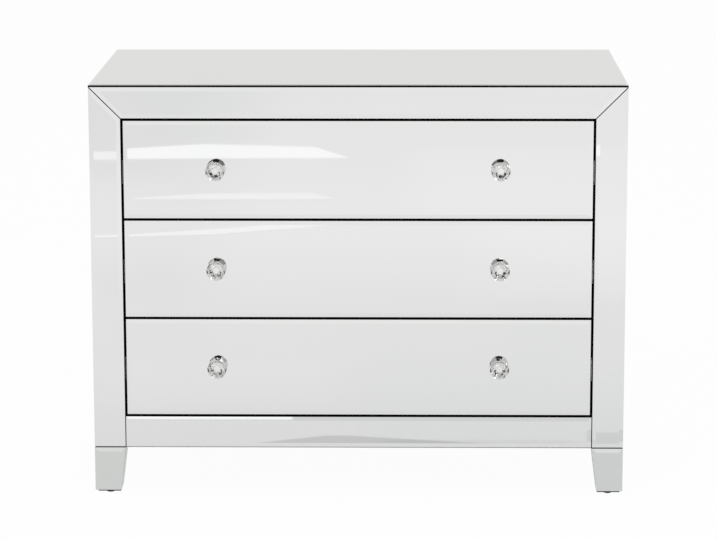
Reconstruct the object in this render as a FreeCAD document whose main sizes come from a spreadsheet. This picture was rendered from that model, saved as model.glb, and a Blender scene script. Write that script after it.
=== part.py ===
import FreeCAD, Part
import math
import operator
import os
import Sketcher

# Chest of drawers clad in bevelled mirror glass.
# Millimetres. +Z is up, the front faces -Y, and the origin is on the floor under the middle of the
# whole chest, knobs included.

# Driving sizes
SIZES = {
    # the whole chest, without its knobs
    "chest_width": 1000,
    "chest_depth": 560,
    # mirror panes
    "glass": 4,
    "bevel_width": 8,
    "bevel_drop": 0.9,
    "pane_joint": 0.8,
    "foot_joint": 1.8,
    # the front frame, seen from the front
    "frame_width": 59,
    "apron_height": 61,
    "front_height": 184,
    "drawer_gap": 4,
    # feet
    "leg_height": 83,
    "leg_taper": 10,
    "glide_inset": 1,
    "glide_plate_height": 3,
    "glide_radius": 9,
    "glide_height": 6,
    "glide_edge": 2,
    # carcass boards and posts
    "board": 16,
    "back_panel": 5,
    "post_depth": 40,
    "apron_depth": 18,
    "divider_height": 18,
    "divider_depth": 60,
    "batten_height": 60,
    "stop_clearance": 0.3,
    # drawer boxes
    "front_board": 16,
    "box_wall": 12,
    "box_rise": 18,
    "box_drop": 35,
    "box_back_space": 45,
    "box_bottom": 5,
    "bottom_rise": 8,
    "groove_depth": 5,
    "groove_clearance": 0.3,
    # telescopic slides
    "slide_width": 12.7,
    "slide_height": 45,
    "slide_length": 450,
    "slide_setback": 4,
    "sheet_gauge": 1.2,
    "bend_radius": 2,
    "ball_track": 3,
    "race_lip": 1.7,
    "slide_play": 0.4,
    # knobs
    "knob_spacing": 530,
    "knob_radius": 18,
    "table_radius": 10.8,
    "crown_height": 8,
    "girdle_height": 1.6,
    "pavilion_height": 12.2,
    "knob_back_radius": 5.6,
    "ferrule_radius": 10,
    "ferrule_foot": 2,
    "ferrule_height": 8,
    "ferrule_neck_radius": 5,
    "glue_line": 0.2,
    "screw_radius": 2,
    "screw_bite": 7,
    "screw_clearance": 0.3,
    "screw_head_radius": 4.5,
    "screw_head_height": 2.6,
}

# A share chosen for the cut of the crystal: how far a star reaches from the table's edge across the
# slope of the crown.
STAR_SHARE = 0.5

# A cut runs past the piece by this part of the crystal's own radius.
CUT_OVERRUN_SHARE = 0.4

# Counts and angles
DRAWERS = ("bottom", "middle", "top")
MAIN_FACETS = 8
GIRDLE_FACETS = 16
FULL_TURN = 360
MITRE = math.radians(45)

doc = FreeCAD.newDocument("mirrored_chest_of_drawers")
sheet = doc.addObject("Spreadsheet::Sheet", "Sizes")
for row, (alias, value) in enumerate(SIZES.items(), start=1):
    sheet.set(f"A{row}", alias)
    sheet.set(f"B{row}", str(value))
    sheet.setAlias(f"B{row}", alias)
doc.recompute()


# Formulas on the sheet
ARITHMETIC = {"+": operator.add, "-": operator.sub, "*": operator.mul, "/": operator.truediv}


class Formula:
    """The text of a formula on the sheet's cells, and the value that it gives now."""

    def __init__(self, text, value):
        self.text = text
        self.value = value

    def joined(self, sign, other, swapped=False):
        if not isinstance(other, Formula):
            other = Formula(repr(float(other)), other)
        first, second = (other, self) if swapped else (self, other)
        value = ARITHMETIC[sign](first.value, second.value)
        return Formula(f"({first.text} {sign} {second.text})", value)

    def __add__(self, other):
        return self.joined("+", other)

    def __sub__(self, other):
        return self.joined("-", other)

    def __mul__(self, other):
        return self.joined("*", other)

    def __rmul__(self, other):
        return self.joined("*", other, swapped=True)

    def __truediv__(self, other):
        return self.joined("/", other)

    def __neg__(self):
        return self.joined("*", -1)


class Cells:
    """Each cell of the sheet as a formula: S.glass is the cell named glass."""

    def __getattr__(self, alias):
        return Formula(f"Sizes.{alias}", SIZES[alias])


UPWARDS = FreeCAD.Vector(0, 0, 1)
SAME_PLACE = 1e-6
S = Cells()
ZERO = Formula("0", 0)


def bind(thing, name, formula):
    """Ties one size or place of a thing to a formula."""
    thing.setExpression(name, formula.text)


def same(first, second):
    """Whether two coordinates are the same place."""
    return math.isclose(first, second, abs_tol=SAME_PLACE)


def place(thing, x=ZERO, y=ZERO, z=ZERO):
    """Puts a thing where three formulas say."""
    bind(thing, "Placement.Base.x", x)
    bind(thing, "Placement.Base.y", y)
    bind(thing, "Placement.Base.z", z)
    return thing


# Ways of making a piece
def board(label, x, y, z):
    """A plain rectangular board between two formulas on each axis."""
    box = doc.addObject("Part::Box", label)
    bind(box, "Length", x[1] - x[0])
    bind(box, "Width", y[1] - y[0])
    bind(box, "Height", z[1] - z[0])
    return place(box, x[0], y[0], z[0])


def new_body(label):
    """An empty body with its own origin planes."""
    return doc.addObject("PartDesign::Body", label)


def origin_feature(body, role):
    """One of the body's own origin planes or axes."""
    return next(item for item in body.Origin.OriginFeatures if item.Role == role)


def outline(body, role, corners, holes=(), name="outline"):
    """A closed sketch of straight lines, with round holes, on one of the body's origin planes."""
    sketch = body.newObject("Sketcher::SketchObject", name)
    sketch.AttachmentSupport = [(origin_feature(body, role), "")]
    sketch.MapMode = "FlatFace"
    points = [FreeCAD.Vector(x.value, y.value, 0) for x, y in corners]
    for start, end in zip(points, points[1:] + points[:1]):
        sketch.addGeometry(Part.LineSegment(start, end), False)
    for k, corner in enumerate(corners):
        following = (k + 1) % len(corners)
        sketch.addConstraint(Sketcher.Constraint("Coincident", k, 2, following, 1))
        pin_point(sketch, k, 1, corner)
    for x, y, radius in holes:
        ring = Part.Circle(FreeCAD.Vector(x.value, y.value, 0), UPWARDS, radius.value)
        k = sketch.addGeometry(ring, False)
        pin_point(sketch, k, 3, (x, y))
        held = sketch.addConstraint(Sketcher.Constraint("Radius", k, radius.value))
        bind(sketch, f"Constraints[{held}]", radius)
    return sketch


def pin_point(sketch, geometry, point, target):
    """Holds one point of a sketch at two formulas, measured from the sketch's origin."""
    for kind, formula in zip(("DistanceX", "DistanceY"), target):
        held = sketch.addConstraint(
            Sketcher.Constraint(kind, -1, 1, geometry, point, formula.value)
        )
        bind(sketch, f"Constraints[{held}]", formula)


def pad(body, sketch, length, reverse=False, name="plate"):
    """Raises a sketch into a plate."""
    feature = body.newObject("PartDesign::Pad", name)
    feature.Profile = sketch
    feature.Reversed = reverse
    bind(feature, "Length", length)
    return feature


def pocket(body, sketch, depth, name):
    """Cuts a sketch into the solid that lies on its front side."""
    feature = body.newObject("PartDesign::Pocket", name)
    feature.Profile = sketch
    feature.Reversed = True
    bind(feature, "Length", depth)
    body.Tip = feature
    return feature


def pane(label, role, corners, reverse=False, holes=()):
    """A pane of mirror glass: a plate whose outer face is bevelled along every straight edge."""
    body = new_body(label)
    plate = pad(body, outline(body, role, corners, holes), S.glass, reverse)
    doc.recompute()
    axis = {"XY_Plane": 2, "XZ_Plane": 1, "YZ_Plane": 0}[role]
    edges = [
        f"Edge{k}"
        for k, edge in enumerate(plate.Shape.Edges, start=1)
        if len(edge.Vertexes) == 2
        and all(same(abs(end.Point[axis]), S.glass.value) for end in edge.Vertexes)
    ]
    bevel = body.newObject("PartDesign::Chamfer", "bevel")
    bevel.Base = (plate, edges)
    bevel.ChamferType = "Two distances"
    bind(bevel, "Size", S.bevel_drop)
    bind(bevel, "Size2", S.bevel_width)
    return body


def turned(label, profile):
    """A round piece: a profile of (radius, height) corners turned about the body's Z axis."""
    body = new_body(label)
    sketch = outline(body, "XZ_Plane", profile, name="profile")
    feature = body.newObject("PartDesign::Revolution", "turning")
    feature.Profile = sketch
    feature.ReferenceAxis = (origin_feature(body, "Z_Axis"), [""])
    feature.Angle = FULL_TURN
    return body


def mirrored(label, source):
    """The same piece on the right-hand side of the chest."""
    other = doc.addObject("Part::Mirroring", label)
    other.Source = source
    other.Normal = FreeCAD.Vector(1, 0, 0)
    other.Base = FreeCAD.Vector(0, 0, 0)
    return other


def group(label, members):
    """Several like pieces, each its own solid, under one name."""
    compound = doc.addObject("Part::Compound", label)
    compound.Links = members
    return compound


def pair(label, left):
    """A left piece and its right-hand fellow under one name."""
    return group(label, [left, mirrored(f"{label}_right", left)])


# Places that several pieces share
crystal_back = S.ferrule_height + S.glue_line
knob_reach = crystal_back + S.pavilion_height + S.girdle_height + S.crown_height
front = (knob_reach - S.chest_depth) / 2
back = front + S.chest_depth
glass_back = front + S.glass
left = -S.chest_width / 2
left_board = left + S.glass
left_opening = left + S.frame_width
leg_bottom = S.glide_plate_height + S.glide_height
leg_top = leg_bottom + S.leg_height
panes_bottom = leg_top + S.foot_joint
opening_bottom = leg_top + S.apron_height
opening_top = (
    opening_bottom + S.front_height * len(DRAWERS) + S.drawer_gap * (len(DRAWERS) + 1)
)
panes_top = opening_top + S.frame_width
top_board_bottom = panes_top - S.board
back_panel_face = back - S.back_panel
# A mitred edge is drawn back along its own pane so that the joint line keeps its width.
mitre_back = S.pane_joint / 2 / math.cos(MITRE)

nodes = []


def node(thing):
    """Marks a thing as one of the chest's sub-parts."""
    nodes.append(thing)
    return thing


# Carcass boards
node(
    board(
        "top_board",
        (left_board, -left_board),
        (glass_back, back_panel_face),
        (top_board_bottom, panes_top),
    )
)
node(
    board(
        "bottom_board",
        (left_board + S.board, -left_board - S.board),
        (glass_back, back_panel_face),
        (leg_top, leg_top + S.board),
    )
)
left_side_board = node(
    board(
        "left_side_board",
        (left_board, left_board + S.board),
        (glass_back, back_panel_face),
        (leg_top, top_board_bottom),
    )
)
node(mirrored("right_side_board", left_side_board))
node(
    board(
        "back_panel",
        (left_board, -left_board),
        (back_panel_face, back),
        (leg_top, panes_top),
    )
)

# Front frame behind the glass
node(
    board(
        "top_rail_core",
        (left_opening, -left_opening),
        (glass_back, glass_back + S.post_depth),
        (opening_top, top_board_bottom),
    )
)
node(
    board(
        "apron_core",
        (left_opening, -left_opening),
        (glass_back, glass_back + S.apron_depth),
        (leg_top + S.board, opening_bottom),
    )
)
left_stile_post = node(
    board(
        "left_stile_post",
        (left_board + S.board, left_opening),
        (glass_back, glass_back + S.post_depth),
        (leg_top + S.board, top_board_bottom),
    )
)
node(mirrored("right_stile_post", left_stile_post))

# Divider rails, which the closed drawer fronts stop against
fronts_back = glass_back + S.front_board
front_pitch = S.front_height + S.drawer_gap
for k, label in enumerate(("lower_divider_rail", "upper_divider_rail"), start=1):
    gap_middle = opening_bottom + S.drawer_gap / 2 + front_pitch * k
    node(
        board(
            label,
            (left_opening, -left_opening),
            (
                fronts_back + S.stop_clearance,
                fronts_back + S.stop_clearance + S.divider_depth,
            ),
            (gap_middle - S.divider_height / 2, gap_middle + S.divider_height / 2),
        )
    )

# Mirror panes of the carcass
top_mirror = node(
    pane(
        "top_mirror",
        "XY_Plane",
        [
            (ZERO, ZERO),
            (S.chest_width, ZERO),
            (S.chest_width, S.chest_depth),
            (ZERO, S.chest_depth),
        ],
    )
)
place(top_mirror, left, front, panes_top)

top_rail_mirror = node(
    pane(
        "top_rail_mirror",
        "XZ_Plane",
        [
            (left_opening + mitre_back, ZERO),
            (-left_opening - mitre_back, ZERO),
            (-left - mitre_back, S.frame_width),
            (left + mitre_back, S.frame_width),
        ],
    )
)
place(top_rail_mirror, y=glass_back, z=opening_top)

left_stile_mirror = node(
    pane(
        "left_stile_mirror",
        "XZ_Plane",
        [
            (ZERO, ZERO),
            (S.frame_width, ZERO),
            (S.frame_width, opening_top - panes_bottom - mitre_back),
            (ZERO, panes_top - panes_bottom - mitre_back),
        ],
    )
)
place(left_stile_mirror, left, glass_back, panes_bottom)
node(mirrored("right_stile_mirror", left_stile_mirror))

apron_half = -left_opening - S.pane_joint
apron_pane_height = S.apron_height - S.foot_joint
apron_mirror = node(
    pane(
        "apron_mirror",
        "XZ_Plane",
        [
            (-apron_half, ZERO),
            (apron_half, ZERO),
            (apron_half, apron_pane_height),
            (-apron_half, apron_pane_height),
        ],
    )
)
place(apron_mirror, y=glass_back, z=panes_bottom)

left_side_mirror = node(
    pane(
        "left_side_mirror",
        "YZ_Plane",
        [
            (glass_back, panes_bottom),
            (back, panes_bottom),
            (back, panes_top),
            (glass_back, panes_top),
        ],
        reverse=True,
    )
)
place(left_side_mirror, left_board)
node(mirrored("right_side_mirror", left_side_mirror))

# Feet: blocks that taper on their two inner faces
leg_width = S.frame_width - S.glass


def leg(label, depth, y, backward):
    """A left foot. Its outer faces are upright, and its inner faces lean outwards going down."""
    body = new_body(label)
    face = [
        (ZERO, ZERO),
        (leg_width - S.leg_taper, ZERO),
        (leg_width, S.leg_height),
        (ZERO, S.leg_height),
    ]
    pad(body, outline(body, "XZ_Plane", face), depth, reverse=True, name="block")
    if backward:
        wedge = [(ZERO, ZERO), (S.leg_taper, ZERO), (ZERO, S.leg_height)]
    else:
        wedge = [(depth - S.leg_taper, ZERO), (depth, ZERO), (depth, S.leg_height)]
    pocket(body, outline(body, "YZ_Plane", wedge, name="wedge"), leg_width, "inner_taper")
    return place(body, left_board, y, leg_bottom)


back_leg_depth = S.frame_width
left_feet = {
    "front": leg("front_left_leg", leg_width, glass_back, backward=False),
    "back": leg("back_left_leg", back_leg_depth, back - back_leg_depth, backward=True),
}
for end, foot in left_feet.items():
    node(foot)
    node(mirrored(f"{end}_right_leg", foot))

# Mirror panes of the feet. The joint above them is left by the carcass's panes.


def foot_pane(label, role, width, reverse=False, flip=False):
    """A tapered pane on one face of a left foot, its upright edge at zero or, flipped, at width."""
    if flip:
        corners = [
            (S.leg_taper, ZERO),
            (width, ZERO),
            (width, S.leg_height),
            (ZERO, S.leg_height),
        ]
    else:
        corners = [
            (ZERO, ZERO),
            (width - S.leg_taper, ZERO),
            (width, S.leg_height),
            (ZERO, S.leg_height),
        ]
    return pane(label, role, corners, reverse)


front_face = foot_pane("front_foot_face", "XZ_Plane", S.frame_width)
place(front_face, left, glass_back, leg_bottom)
front_side = foot_pane("front_foot_side", "YZ_Plane", leg_width, reverse=True)
place(front_side, left_board, glass_back, leg_bottom)
back_side = foot_pane("back_foot_side", "YZ_Plane", back_leg_depth, reverse=True, flip=True)
place(back_side, left_board, back - back_leg_depth, leg_bottom)
node(
    group(
        "front_leg_mirrors",
        [
            front_face,
            front_side,
            mirrored("front_foot_face_right", front_face),
            mirrored("front_foot_side_right", front_side),
        ],
    )
)
node(pair("back_leg_mirrors", back_side))

# Glides: a square plastic plate under each foot with a round boss that stands on the floor
sole_half = (leg_width - S.leg_taper) / 2


def glide(label, middle_y):
    """A left glide, hanging from the middle of its foot's sole."""
    body = new_body(label)
    half = sole_half - S.glide_inset
    corners = [(-half, -half), (half, -half), (half, half), (-half, half)]
    pad(body, outline(body, "XY_Plane", corners), S.glide_plate_height, reverse=True)
    ring = outline(body, "XY_Plane", [], [(ZERO, ZERO, S.glide_radius)], name="ring")
    boss = pad(body, ring, leg_bottom, reverse=True, name="boss")
    doc.recompute()
    rim = [
        f"Edge{k}"
        for k, edge in enumerate(boss.Shape.Edges, start=1)
        if all(same(end.Z, -leg_bottom.value) for end in edge.Vertexes)
    ]
    worn = body.newObject("PartDesign::Chamfer", "worn_edge")
    worn.Base = (boss, rim)
    bind(worn, "Size", S.glide_edge)
    return place(body, left_board + sole_half, middle_y, leg_bottom)


front_glide = glide("front_glide", glass_back + sole_half)
back_glide = glide("back_glide", back - (back_leg_depth - S.leg_taper) / 2)
node(
    group(
        "leg_glides",
        [
            front_glide,
            back_glide,
            mirrored("front_glide_right", front_glide),
            mirrored("back_glide_right", back_glide),
        ],
    )
)

# Battens and slides, one set for each drawer
box_front = fronts_back
box_back = back_panel_face - S.box_back_space
slide_front = box_front + S.slide_setback
slide_back = slide_front + S.slide_length
box_left = left_opening + S.slide_width


def front_bottom(level):
    """The height of a drawer front's lower edge. Level 0 is the bottom drawer."""
    return opening_bottom + S.drawer_gap + front_pitch * level


def slide_middle(level):
    """The height of a drawer's slides: half way up its box."""
    return front_bottom(level) + (S.front_height + S.box_rise - S.box_drop) / 2


def channel(label, level, web, tip, half, outward_lips=False):
    """A left slide member, bent from sheet into a channel along Y.

    web is the outer face of its flat back and tip the end of its flanges, both measured from the
    batten. half is half its height. Lips at the flange ends hold the balls in their tracks.
    """
    body = new_body(label)
    gauge = S.sheet_gauge
    side = 1 if web.value < tip.value else -1
    web_inside = web + gauge * side
    tip_inside = tip - gauge * side
    inside = half - gauge
    if outward_lips:
        end = half + S.race_lip
        fold = (tip, inside)
        lip = [fold, (tip, end), (tip_inside, end), (tip_inside, half)]
    else:
        end = inside - S.race_lip
        fold = (tip, half)
        lip = [(tip_inside, inside), (tip_inside, end), (tip, end), fold]
    upper = [(web_inside, inside), *lip, (web, half)]
    lower = [(x, -z) for x, z in reversed(upper)]
    section = outline(body, "XZ_Plane", upper + lower, name="section")
    strip = pad(body, section, S.slide_length)
    doc.recompute()
    bends = body.newObject("PartDesign::Fillet", "web_bends")
    bends.Base = (strip, long_edges(strip, (web, half)))
    bind(bends, "Radius", S.bend_radius)
    doc.recompute()
    folds = body.newObject("PartDesign::Chamfer", "lip_folds")
    folds.Base = (bends, long_edges(bends, fold))
    bind(folds, "Size", gauge)
    return place(body, left_opening, slide_back, slide_middle(level))


def long_edges(strip, corner):
    """The names of a strip's two long edges at one corner of its section, above and below."""
    names = []
    for k, edge in enumerate(strip.Shape.Edges, start=1):
        first, last = edge.Vertexes[0], edge.Vertexes[-1]
        at_corner = same(first.X, corner[0].value) and same(abs(first.Z), corner[1].value)
        if at_corner and not same(first.Y, last.Y):
            names.append(f"Edge{k}")
    return names


# The three channels nest: each leaves a ball track to the next above and below, and a little play
# between the flange ends of one and the web of the next.
cabinet_half = S.slide_height / 2
runner_web = S.sheet_gauge + S.slide_play
runner_tip = S.slide_width - S.sheet_gauge - S.slide_play
runner_half = cabinet_half - S.sheet_gauge - S.ball_track
drawer_half = runner_half - S.sheet_gauge - S.ball_track
drawer_tip = runner_web + S.sheet_gauge + S.slide_play
cabinet_tip = runner_tip - S.sheet_gauge

battens = []
cabinet_members = []
for level, name in enumerate(DRAWERS):
    middle = slide_middle(level)
    batten = board(
        f"{name}_batten",
        (left_board + S.board, left_opening),
        (glass_back + S.post_depth, back_panel_face),
        (middle - S.batten_height / 2, middle + S.batten_height / 2),
    )
    battens += [batten, mirrored(f"{name}_batten_right", batten)]
    member = channel(f"{name}_cabinet_member", level, ZERO, cabinet_tip, cabinet_half)
    cabinet_members += [member, mirrored(f"{name}_cabinet_member_right", member)]
    runner = channel(f"{name}_runner", level, runner_web, runner_tip, runner_half)
    node(pair(f"{name}_slide_runners", runner))
    slider = channel(
        f"{name}_drawer_member", level, S.slide_width, drawer_tip, drawer_half, outward_lips=True
    )
    node(pair(f"{name}_drawer_slide_members", slider))
node(group("slide_battens", battens))
node(group("cabinet_slide_members", cabinet_members))


# Drawer boxes
box_height = S.front_height - S.box_rise - S.box_drop
box_depth = box_back - box_front
half_front = -left_opening - S.drawer_gap
half_bottom = -box_left - S.box_wall + S.groove_depth - S.groove_clearance
knob_x = S.knob_spacing / 2
knob_z = S.front_height / 2


def front_outline():
    """The outline that a drawer's front board and its mirror share."""
    return [
        (-half_front, ZERO),
        (half_front, ZERO),
        (half_front, S.front_height),
        (-half_front, S.front_height),
    ]


def knob_holes():
    """The two screw holes through a drawer front."""
    radius = S.screw_radius + S.screw_clearance
    return [(-knob_x, knob_z, radius), (knob_x, knob_z, radius)]


def front_board(name, z):
    """The board behind a drawer's mirror, grooved at the back for the drawer's bottom."""
    body = new_body(f"{name}_drawer_front_board")
    plate = outline(body, "XZ_Plane", front_outline(), knob_holes())
    pad(body, plate, S.front_board)
    low = S.box_rise + S.bottom_rise
    high = low + S.box_bottom + S.groove_clearance
    slot_half = half_bottom + S.groove_clearance
    slot = [(-slot_half, low), (slot_half, low), (slot_half, high), (-slot_half, high)]
    pocket(body, outline(body, "XZ_Plane", slot, name="slot"), S.groove_depth, "groove")
    return place(body, y=fronts_back, z=z)


def box_side(name, z):
    """The left side of a drawer box, with the groove that its bottom slides into."""
    low = S.bottom_rise
    high = low + S.box_bottom + S.groove_clearance
    floor = S.box_wall - S.groove_depth
    section = [
        (ZERO, ZERO),
        (S.box_wall, ZERO),
        (S.box_wall, low),
        (floor, low),
        (floor, high),
        (S.box_wall, high),
        (S.box_wall, box_height),
        (ZERO, box_height),
    ]
    body = new_body(f"{name}_drawer_left_side")
    pad(body, outline(body, "XZ_Plane", section, name="section"), box_depth)
    return place(body, box_left, box_back, z + S.box_rise)


for level, name in enumerate(DRAWERS):
    z = front_bottom(level)
    box_floor = z + S.box_rise
    panel_bottom = box_floor + S.bottom_rise
    panel_top = panel_bottom + S.box_bottom
    mirror_pane = pane(
        f"{name}_drawer_mirror", "XZ_Plane", front_outline(), holes=knob_holes()
    )
    node(place(mirror_pane, y=glass_back, z=z))
    node(front_board(name, z))
    side = node(box_side(name, z))
    node(mirrored(f"{name}_drawer_right_side", side))
    node(
        board(
            f"{name}_drawer_back",
            (box_left + S.box_wall, -box_left - S.box_wall),
            (box_back - S.box_wall, box_back),
            (panel_top, box_floor + box_height),
        )
    )
    node(
        board(
            f"{name}_drawer_bottom",
            (-half_bottom, half_bottom),
            (box_front - S.groove_depth + S.groove_clearance, box_back),
            (panel_bottom, panel_top),
        )
    )


# Crystal knobs, cut as round brilliants
FACE_OUTWARDS = FreeCAD.Rotation(FreeCAD.Vector(1, 0, 0), FULL_TURN / 4)
half_step = math.radians(FULL_TURN / MAIN_FACETS / 2)
quarter_step = half_step / 2
girdle_low = S.pavilion_height
girdle_high = girdle_low + S.girdle_height
table_level = girdle_high + S.crown_height
cut_overrun = S.knob_radius * CUT_OVERRUN_SHARE


def cut_facets(body, name, inner, outer, turn, count, upward):
    """Cuts a ring of flat facets.

    inner and outer are two (radius, height) points on a facet's middle line. turn is the angle
    from the first main facet. upward facets face the room, and the others face the drawer.
    """
    side = 1 if upward else -1
    slope = (inner[1] - outer[1]) / (outer[0] - inner[0])
    rise = cut_overrun * side
    near = (inner[0] - rise / slope, inner[1] + rise)
    far_radius = S.knob_radius + cut_overrun
    far = (far_radius, inner[1] - slope * (far_radius - inner[0]))
    sketch = outline(body, "XZ_Plane", [near, far, (far_radius, near[1])], name=f"{name}_line")
    sketch.AttachmentOffset = FreeCAD.Placement(
        FreeCAD.Vector(0, 0, 0), FreeCAD.Rotation(FreeCAD.Vector(0, 1, 0), math.degrees(turn))
    )
    cut = body.newObject("PartDesign::Pocket", name)
    cut.Profile = sketch
    cut.Midplane = True
    bind(cut, "Length", S.knob_radius * 2 + cut_overrun)
    doc.recompute()
    ring = body.newObject("PartDesign::PolarPattern", f"{name}_ring")
    ring.Originals = [cut]
    ring.Axis = (origin_feature(body, "Z_Axis"), [""])
    ring.Angle = FULL_TURN
    ring.Occurrences = count
    body.Tip = ring
    doc.recompute()
    return ring


def crystal(label, z):
    """A left knob's crystal, its axis on the body's Z and its back at zero."""
    body = new_body(label)
    corners = []
    for k in range(GIRDLE_FACETS):
        angle = math.tau * k / GIRDLE_FACETS
        corners.append((S.knob_radius * math.cos(angle), S.knob_radius * math.sin(angle)))
    pad(body, outline(body, "XY_Plane", corners), table_level, name="rough")

    # crown: the main facets run from the table's corners to the girdle
    crown_slope = S.crown_height / (S.knob_radius - S.table_radius)
    table_corner = (S.table_radius, table_level)
    cut_facets(
        body, "crown_main", table_corner, (S.knob_radius, girdle_high), 0, MAIN_FACETS, True
    )
    # stars: from the table's edges to where two main facets meet
    table_edge = S.table_radius * math.cos(half_step)
    star_radius = table_edge + (S.knob_radius - table_edge) * STAR_SHARE
    star_level = girdle_high + crown_slope * (S.knob_radius - star_radius * math.cos(half_step))
    cut_facets(
        body,
        "crown_star",
        (table_edge, table_level),
        (star_radius, star_level),
        half_step,
        MAIN_FACETS,
        True,
    )
    # upper girdle facets: from the girdle up to the stars' tips
    girdle_flat = S.knob_radius * math.cos(quarter_step)
    star_flat = star_radius * math.cos(quarter_step)
    cut_facets(
        body,
        "upper_girdle",
        (star_flat, star_level),
        (girdle_flat, girdle_high),
        quarter_step,
        GIRDLE_FACETS,
        True,
    )
    # pavilion: broad facets run from the girdle back to the small flat that is glued to the ferrule
    cut_facets(
        body,
        "pavilion_main",
        (S.knob_back_radius, ZERO),
        (S.knob_radius, girdle_low),
        0,
        MAIN_FACETS,
        False,
    )
    return place_on_front(body, z, crystal_back)


def place_on_front(body, z, stand_off):
    """Turns a left knob piece to face outwards and stands it off the mirror."""
    body.Placement.Rotation = FACE_OUTWARDS
    return place(body, -knob_x, front - stand_off, z + knob_z)


for level, name in enumerate(DRAWERS):
    z = front_bottom(level)
    stone = crystal(f"{name}_crystal", z)
    node(pair(f"{name}_crystal_knobs", stone))
    bore = S.screw_radius + S.screw_clearance
    ferrule = turned(
        f"{name}_ferrule",
        [
            (bore, ZERO),
            (S.ferrule_radius, ZERO),
            (S.ferrule_radius, S.ferrule_foot),
            (S.ferrule_neck_radius, S.ferrule_height),
            (ZERO, S.ferrule_height),
            (ZERO, S.screw_bite),
            (bore, S.screw_bite),
        ],
    )
    node(pair(f"{name}_knob_ferrules", place_on_front(ferrule, z, ZERO)))
    shank = S.front_board + S.glass + S.screw_bite - S.screw_clearance
    screw = turned(
        f"{name}_knob_screw",
        [
            (ZERO, -S.screw_head_height),
            (S.screw_head_radius, -S.screw_head_height),
            (S.screw_head_radius, ZERO),
            (S.screw_radius, ZERO),
            (S.screw_radius, shank),
            (ZERO, shank),
        ],
    )
    node(pair(f"{name}_knob_screws", place_on_front(screw, z, -S.front_board - S.glass)))

doc.recompute()

# Nothing is written unless every feature was made and every sub-part is sound.
for thing in doc.Objects:
    if "Invalid" in thing.State or "Error" in thing.State:
        raise RuntimeError(f"{thing.Label} failed: {thing.State}")
for thing in nodes:
    if thing.Shape.isNull() or not thing.Shape.isValid() or not thing.Shape.Solids:
        raise RuntimeError(f"{thing.Label} has no sound shape")

os.makedirs("parts", exist_ok=True)
for thing in nodes:
    thing.Shape.exportStep(f"parts/{thing.Label}.step")
    print(f"{thing.Label}: {len(thing.Shape.Solids)} solids, {thing.Shape.Volume:.0f} mm3")
print(f"{len(nodes)} sub-parts")
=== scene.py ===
# %% [markdown]
# A chest of three drawers, clad all over in silvered glass. Each face is a pane of mirror with
# a polished bevel, the knobs are cut crystal, and four tapered feet carry it. All the shapes that
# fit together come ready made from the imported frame. This lesson gives them their finishes, adds
# the small fastenings, and stands the chest in a white studio.

import math

import bpy
from mathutils import Matrix, Vector


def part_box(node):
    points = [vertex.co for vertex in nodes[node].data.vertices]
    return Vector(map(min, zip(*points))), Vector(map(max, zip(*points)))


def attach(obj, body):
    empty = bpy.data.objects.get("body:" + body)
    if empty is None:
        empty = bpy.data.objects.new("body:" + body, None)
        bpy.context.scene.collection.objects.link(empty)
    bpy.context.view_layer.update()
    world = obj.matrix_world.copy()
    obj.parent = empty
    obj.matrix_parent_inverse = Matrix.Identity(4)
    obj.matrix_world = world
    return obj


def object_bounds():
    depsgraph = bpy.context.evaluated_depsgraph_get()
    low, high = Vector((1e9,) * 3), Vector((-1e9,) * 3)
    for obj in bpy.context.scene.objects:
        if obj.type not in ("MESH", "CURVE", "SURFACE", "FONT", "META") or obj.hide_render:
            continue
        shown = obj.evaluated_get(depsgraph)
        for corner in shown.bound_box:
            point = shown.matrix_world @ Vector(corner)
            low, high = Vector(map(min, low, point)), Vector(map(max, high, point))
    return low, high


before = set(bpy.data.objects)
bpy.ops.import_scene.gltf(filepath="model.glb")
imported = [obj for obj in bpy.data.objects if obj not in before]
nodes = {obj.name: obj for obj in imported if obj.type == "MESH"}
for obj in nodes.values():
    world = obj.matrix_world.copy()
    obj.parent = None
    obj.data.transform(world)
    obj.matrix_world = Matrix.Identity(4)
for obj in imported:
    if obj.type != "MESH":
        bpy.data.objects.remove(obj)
cad_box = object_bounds()
LEVELS = ("top", "middle", "bottom")
X, Y, Z = range(3)

# %% [markdown]
# Both materials and Geometry Nodes are trees of nodes, and much of what follows is maths on the
# values in them. A small class wraps a socket and overloads Python's operators, so that the maths
# is written as an expression and each operator adds its own Math node. Writing every node and link
# out by hand would also work, but the formula would be lost among them.


# %% Maths on sockets
def feed(tree, entry, value):
    """Gives an input socket a value, or links a term to it."""
    if isinstance(value, Term):
        tree.links.new(value.socket, entry)
    else:
        entry.default_value = value


class Term:
    """A socket's value in an expression. Each operator adds the Math node that works it out."""

    def __init__(self, tree, socket):
        self.tree = tree
        self.socket = socket

    def maths(self, operation, *values):
        node = self.tree.nodes.new("ShaderNodeMath")
        node.operation = operation
        for entry, value in zip(node.inputs, values):
            feed(self.tree, entry, value)
        return Term(self.tree, node.outputs[0])

    def __add__(self, other):
        return self.maths("ADD", self, other)

    def __radd__(self, other):
        return self.maths("ADD", other, self)

    def __sub__(self, other):
        return self.maths("SUBTRACT", self, other)

    def __rsub__(self, other):
        return self.maths("SUBTRACT", other, self)

    def __mul__(self, other):
        return self.maths("MULTIPLY", self, other)

    def __rmul__(self, other):
        return self.maths("MULTIPLY", other, self)

    def __truediv__(self, other):
        return self.maths("DIVIDE", self, other)

    def __gt__(self, other):
        return self.maths("GREATER_THAN", self, other)

    def __lt__(self, other):
        return self.maths("LESS_THAN", self, other)

    def __abs__(self):
        return self.maths("ABSOLUTE", self)

    def fraction(self):
        return self.maths("FRACT", self)

    def root(self):
        return self.maths("SQRT", self)

    def larger(self, other):
        return self.maths("MAXIMUM", self, other)

    def smaller(self, other):
        return self.maths("MINIMUM", self, other)


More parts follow.
